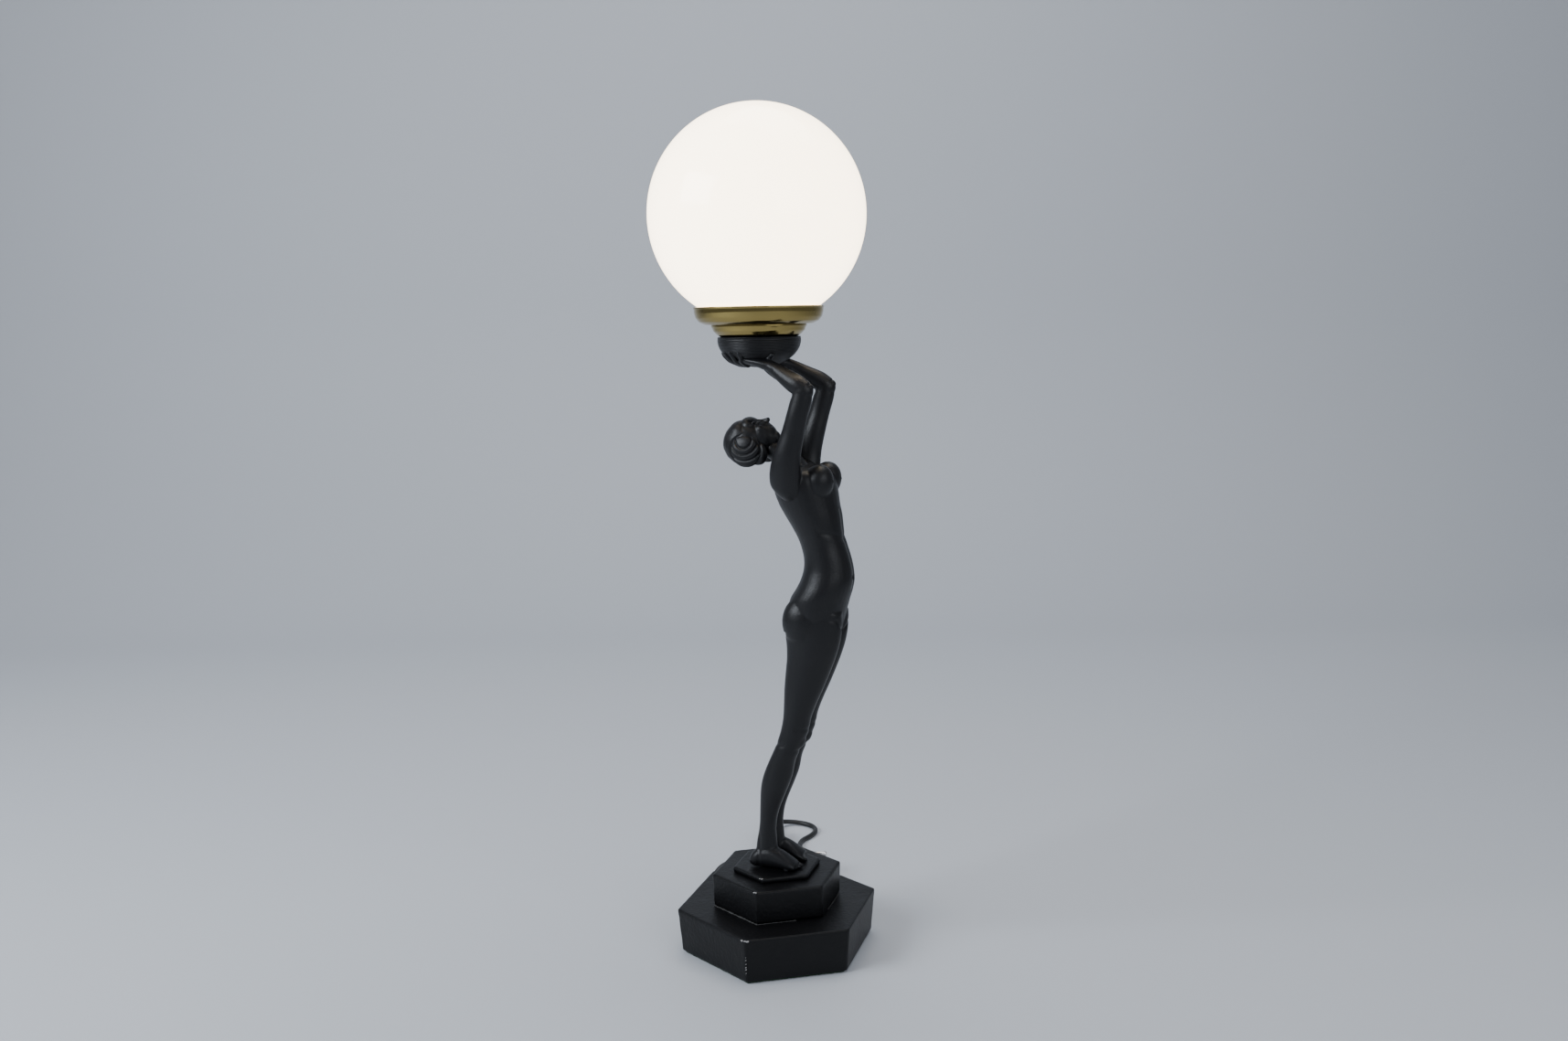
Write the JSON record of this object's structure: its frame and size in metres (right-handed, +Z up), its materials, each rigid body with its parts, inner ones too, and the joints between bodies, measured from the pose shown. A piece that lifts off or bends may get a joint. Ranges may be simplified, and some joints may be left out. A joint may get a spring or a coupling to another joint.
{
  "type": "figural table lamp",
  "caption": "Black standing figure on a stepped hexagonal base, arms raised under a black bowl and a brass gallery that carry a glowing opal globe; loose lead with an inline switch.",
  "frame": {"origin": "centre of the base's underside, at the felt", "axes": "+Z up; +X the way the figure faces; the lead leaves the base's flat at 120 degrees"},
  "size_m": [0.1505, 0.3084, 0.5999],
  "materials": {
    "black_paint": "satin black paint over cast metal",
    "brass": "antique brass, polished",
    "opal": "white opal glass, gloss outside",
    "bulb_clear": "frosted glass",
    "plated": "nickel plate",
    "steel": "zinc-plated steel",
    "felt": "dark green felt",
    "lead_skin": "matt black lead",
    "black_plastic": "moulded black plastic",
    "strap": "woven black strap",
    "holder": "dark moulded resin",
    "ceramic": "glazed white steatite",
    "seal": "pale silicone"
  },
  "bodies": {
    "root": {"base_lower_tier": "black_paint", "base_top_step": "black_paint", "base_upper_tier": "black_paint", "cord_boot": "lead_skin", "cord_coil": "lead_skin", "cord_tie": "strap", "cord_to_coil": "lead_skin", "cord_to_plug": "lead_skin", "cord_to_switch": "lead_skin", "felt_pad": "felt", "figure_body": "black_paint", "figure_head": "black_paint", "figure_stud": "steel", "gallery_lower_ring": "brass", "gallery_upper_ring": "brass", "hand_bowl": "black_paint", "inner_lead": "lead_skin", "lampholder_cap": "holder", "lampholder_skirt": "holder", "left_arm": "black_paint", "nipple_lock_nut": "brass", "plug_body": "black_plastic", "plug_pins": "plated", "plug_relief": "black_plastic", "right_arm": "black_paint", "screw_sleeve": "brass", "stud_nut": "steel", "stud_washer": "steel", "switch_base": "black_plastic", "switch_cover": "black_plastic", "switch_pin": "steel", "switch_relief_far": "black_plastic", "switch_relief_near": "black_plastic", "switch_screws": "steel", "terminal_block": "ceramic", "threaded_nipple": "brass"},
    "globe_lift": {"globe_gasket": "seal"},
    "globe": {"opal_globe": "opal"},
    "contact": {"centre_contact": "brass"},
    "bulb": {"bulb_cap": "plated", "bulb_glass": "bulb_clear"},
    "rocker": {"switch_rocker": "black_plastic"}
  },
  "joints": [
    {"name": "globe_rise", "type": "slide", "parent": "root", "child": "globe_lift", "axis": [0, 0, 1], "range_m": [0, 0.0041]},
    {"name": "globe_unscrew", "type": "hinge", "parent": "globe_lift", "child": "globe", "pos_m": [-0.0055, 0, 0.4561], "axis": [0, 0, 1], "range_deg": [0, 360]},
    {"name": "bulb_rise", "type": "slide", "parent": "root", "child": "contact", "axis": [0, 0, 1], "range_m": [0, 0.00285]},
    {"name": "bulb_unscrew", "type": "hinge", "parent": "contact", "child": "bulb", "pos_m": [-0.0055, 0, 0.4821], "axis": [0, 0, 1], "range_deg": [0, 360]},
    {"name": "rocker_tilt", "type": "hinge", "parent": "root", "child": "rocker", "pos_m": [-0.06189, 0.17387, 0.0108], "axis": [0.95, 0.3123, 0], "range_deg": [-14, 0]}
  ],
  "couplings": [
    {"joint": "globe_rise", "follows": "globe_unscrew", "m_per_rad": 0.00063662},
    {"joint": "bulb_rise", "follows": "bulb_unscrew", "m_per_rad": 0.00044882}
  ]
}
